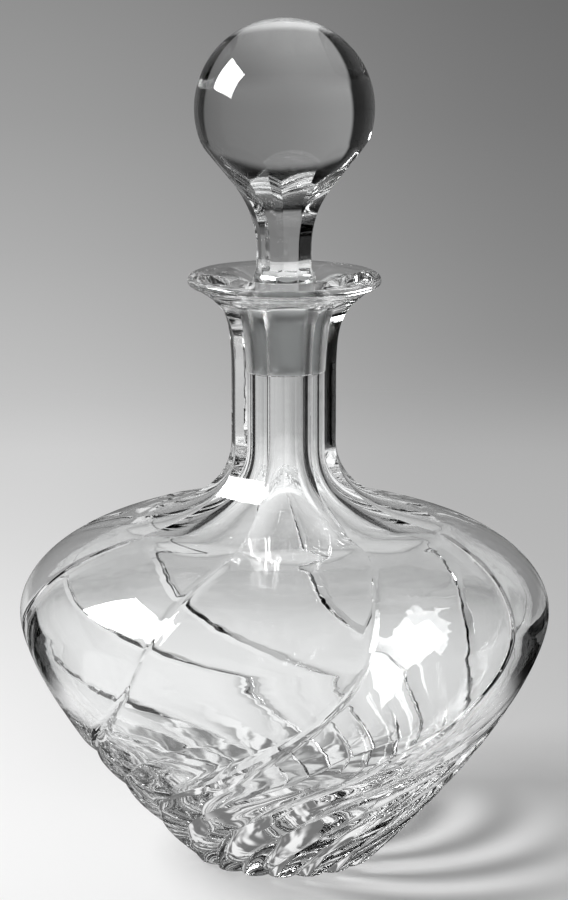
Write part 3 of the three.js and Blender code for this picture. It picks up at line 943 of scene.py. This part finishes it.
def table_in_glass(tree, where, axes, away, rays):
    beside = product(tree, rays["solid"], step(tree, away, *GAPS_FROM))
    near_mirrored = product(tree, rays["mirrored"], step(tree, away, *MIRRORED_GAPS_TO))
    # Painted caustic light and shade: noise streaks close round the foot.
    streaks = add(tree, "ShaderNodeTexNoise", {
        "Vector": where, "Scale": STREAKS_PER_METRE, "Detail": 1.0, "Distortion": 1.0,
    })
    streak = step(tree, streaks.outputs["Fac"], *STREAK_TONES)
    hollow = maths(tree, "SUBTRACT", 1.0, rays["solid"])
    far_part = product(tree, hollow, step(tree, away, *FAR_FROM))
    return product(
        tree, painted_tone_of_kind(tree, rays, product(tree, beside, rays["straight"]),
                           TABLE_INSIDE_SOLID, TABLE_INSIDE_HOLLOW),
        either(tree, beside, gaps(tree, axes["X"], axes["Y"], near_mirrored)),
        either(tree, step(tree, away, *STREAKED_TO), streak),
        either(tree, far_part, FAR_TONE),
        step(tree, axes["X"], *ACROSS),
    )


# %% The table's material
TABLE_GREY, TABLE_ROUGHNESS = 0.42, 0.7
GRAINS_PER_METRE = 900.0
TABLE_FADES = (0.5, 0.92)


def layered(tree, surface, share, other):
    """The other shader over the surface, by its share."""
    both = add(tree, "ShaderNodeMixShader", {"Fac": share, 1: surface, 2: other.outputs[0]})
    return both.outputs[0]


def table_material():
    material, tree, body = shader("pale table")
    where = add(tree, "ShaderNodeTexCoord").outputs["Object"]
    axes = add(tree, "ShaderNodeSeparateXYZ", {"Vector": where}).outputs
    away = add(tree, "ShaderNodeVectorMath", {0: where}, operation="LENGTH").outputs["Value"]
    grain = add(tree, "ShaderNodeTexNoise", {
        "Vector": where, "Scale": GRAINS_PER_METRE, "Detail": 3.0,
    })
    bump = add(tree, "ShaderNodeBump", {
        "Height": grain.outputs["Fac"], "Strength": 0.02, "Distance": 0.0005,
    })
    tree.links.new(bump.outputs["Normal"], body.inputs["Normal"])
    body.inputs["Roughness"].default_value = TABLE_ROUGHNESS
    body.inputs["Base Color"].default_value = (TABLE_GREY, TABLE_GREY, TABLE_GREY, 1)
    rays = sort_rays(tree)
    # Painted light for the camera: the added tone, times the painted caustic arms.
    seen = add(tree, "ShaderNodeEmission", {
        "Color": ramp(tree, away, TABLE_SEEN),
        "Strength": product(tree, painted_side_light(tree, axes), painted_caustic_arms(tree, axes, away),
                            rays["camera"]),
    })
    # What the glass shows of the table: painted light and shade only, with no lamp light and no
    # real shadow.
    shown = add(tree, "ShaderNodeEmission", {
        "Color": ramp(tree, away, TABLE_IN_GLASS),
        "Strength": table_in_glass(tree, where, axes, away, rays),
    })
    lit = add(tree, "ShaderNodeAddShader", {0: body.outputs[0], 1: seen.outputs[0]})
    surface = layered(tree, lit.outputs[0], rays["glass"], shown)
    surface = layered(tree, surface, step(tree, away, *TABLE_FADES),
                      add(tree, "ShaderNodeBsdfTransparent"))
    tree.links.new(surface, tree.nodes["Material Output"].inputs["Surface"])
    return material


# %% The table itself
def round_table(radius, corners_round):
    turn = np.linspace(0, 2 * math.pi, corners_round, endpoint=False)
    vertices = [(radius * math.cos(t), radius * math.sin(t), 0) for t in turn]
    mesh = bpy.data.meshes.new("table")
    mesh.from_pydata(vertices, [], [tuple(range(corners_round))])
    mesh.materials.append(table_material())
    table = put_in_scene("table", mesh)
    table.cycles.is_caustics_receiver = True
    return table


table = round_table(radius=0.95, corners_round=96)
print("the table measures", [round(v, 2) for v in table.dimensions], "m")

# %% [markdown]
# ## The room
# The room is a plain grey wall without an end, with painted shade that makes it darker towards the
# top and towards the right. It could be a big bent sheet behind the table, but the world itself
# does the same with no seam from any side. As on the table, what the glass shows of it has painted
# tones of its own: a pale front and sides, the two gaps, and a dark ceiling, painted light and
# shade that light nothing. The stops below are heights of the direction, from -1 for straight down
# to 1 for straight up, or degrees round the decanter.

# %% The tones of the room
ROOM_SEEN = [(-0.36, 0.86), (-0.286, 0.7), (-0.26, 0.62), (-0.233, 0.52), (-0.208, 0.415),
             (-0.167, 0.32), (-0.132, 0.255), (-0.1, 0.215), (0.0, 0.2)]
ROOM_SIDES = (-0.1, 0.1, 1.34, 0.7)
ROOM_IN_GLASS = [(-180, 0.6), (-152, 0.65), (-140, 1.0), (-105, 1.0), (-80, 0.7), (-40, 0.88),
                 (-30, 0.82), (0, 0.62), (25, 0.53), (55, 0.36), (105, 0.6), (115, 1.0),
                 (140, 1.0), (152, 0.65), (180, 0.6)]
LOW_SOLID, LOW_HOLLOW = (-0.45, -0.08, 1.25, 1.0), (-0.2, -0.06, 0.66, 1.0)
CEILING, CEILING_TONE, CEILING_INSIDE = (0.36, 0.47), 0.01, 0.04
ROOM_INSIDE_SOLID, ROOM_INSIDE_HOLLOW = 0.56, 1.3


def room_in_glass(tree, axes, rays):
    ceiling_tone = either(tree, rays["inside"], CEILING_INSIDE, CEILING_TONE)
    gapped = maths(tree, "MAXIMUM", rays["solid"], rays["inside"])
    return product(
        tree, painted_tone_of_kind(tree, rays, product(tree, rays["solid"], rays["straight"]),
                           ROOM_INSIDE_SOLID, ROOM_INSIDE_HOLLOW),
        either(tree, rays["solid"], step(tree, axes["Z"], *LOW_SOLID),
               step(tree, axes["Z"], *LOW_HOLLOW)),
        step(tree, axes["Z"], *CEILING, 1.0, ceiling_tone),
        either(tree, gapped, gaps(tree, axes["X"], axes["Y"], 0.0)),
    )


# %% The room itself
def grey_room():
    world = bpy.data.worlds.new("grey room")
    world.use_nodes = True
    tree = world.node_tree
    direction = add(tree, "ShaderNodeTexCoord").outputs["Generated"]
    axes = add(tree, "ShaderNodeSeparateXYZ", {"Vector": direction}).outputs
    flat = maths(tree, "SQRT", maths(tree, "SUBTRACT", 1.0, maths(tree, "POWER", axes["Z"], 2.0)))
    # Painted shade: the wall is darker towards the right and, by the ramp, towards the top.
    side = step(tree, maths(tree, "DIVIDE", axes["X"], flat), *ROOM_SIDES)
    rays = sort_rays(tree)
    seen = add(tree, "ShaderNodeBackground", {
        "Color": ramp(tree, axes["Z"], ROOM_SEEN),
        "Strength": product(tree, side, rays["camera"]),
    })
    shown = add(tree, "ShaderNodeBackground", {
        "Color": ramp(tree, degrees_of(tree, axes["X"], axes["Y"]), ROOM_IN_GLASS),
        "Strength": room_in_glass(tree, axes, rays),
    })
    surface = layered(tree, seen.outputs[0], rays["glass"], shown)
    tree.links.new(surface, tree.nodes["World Output"].inputs["Surface"])
    return world


bpy.context.scene.world = grey_room()
print("the room has", len(bpy.context.scene.world.node_tree.nodes), "nodes")

# %% [markdown]
# ## The lamp
# One large soft lamp stands on the left, higher than the ball. It shows in the glass as a
# bright window on the ball, on the neck and on the side. A small hard lamp would leave only
# points of light there. A panel light is used because its size sets the window's size.


# %% The lamp
def soft_light(name, place_at, aim, width, height, brightness):
    """A panel light. Brightness is what the panel itself shows, where 1 is white paper."""
    data = bpy.data.lights.new(name, "AREA")
    data.shape = "RECTANGLE"
    data.size, data.size_y = width, height
    data.energy = brightness * math.pi * width * height
    data.cycles.is_caustics_light = True
    lamp = put_in_scene(name, data)
    lamp.location = place_at
    lamp.rotation_euler = (Vector(aim) - Vector(place_at)).to_track_quat("-Z", "Y").to_euler()
    lamp.visible_camera = False
    print(name, "gives", round(data.energy, 2), "watts")
    return lamp


soft_light("window_left", place_at=(-0.42, 0.0, 0.465), aim=(0, 0, 0.2),
           width=0.302, height=0.243, brightness=24.0)

# %% [markdown]
# ## The camera
# A long lens from a little over a metre away, looking down by thirteen degrees. A short lens
# close by would make the belly bulge and the foot shrink.

# %% The camera
SENSOR, PHOTO_HEIGHT = 36.0, 900
FOCAL_PIXELS = 3676.92
CAMERA_PLACE, CAMERA_TILT = (0, -1.14396, 0.39286), 12.941
camera_data = bpy.data.cameras.new("camera")
camera_data.sensor_width = SENSOR
camera_data.lens = SENSOR * FOCAL_PIXELS / PHOTO_HEIGHT
camera_data.shift_x, camera_data.shift_y = -0.0006, 0.0133
camera_data.clip_start, camera_data.clip_end = 0.05, 30.0
camera = put_in_scene("camera", camera_data)
camera.location = CAMERA_PLACE
camera.rotation_euler = (math.radians(90 - CAMERA_TILT), 0, 0)
bpy.context.scene.camera = camera
bpy.context.scene.view_settings.view_transform = "Standard"
print("the lens is", round(camera_data.lens, 1), "mm long")

# %% [markdown]
# ## How far the light is followed
# In the lower part of the body light is mirrored from cut to cut many times before it leaves.
# Where it isn't followed far enough, black spots appear that real glass doesn't have. The
# spots could be painted over, but it is simpler to follow the light further.

# %% Follow the light far enough
paths = bpy.context.scene.cycles
paths.max_bounces, paths.glossy_bounces, paths.transmission_bounces = 20, 12, 16
print("light is followed for", paths.max_bounces, "steps")
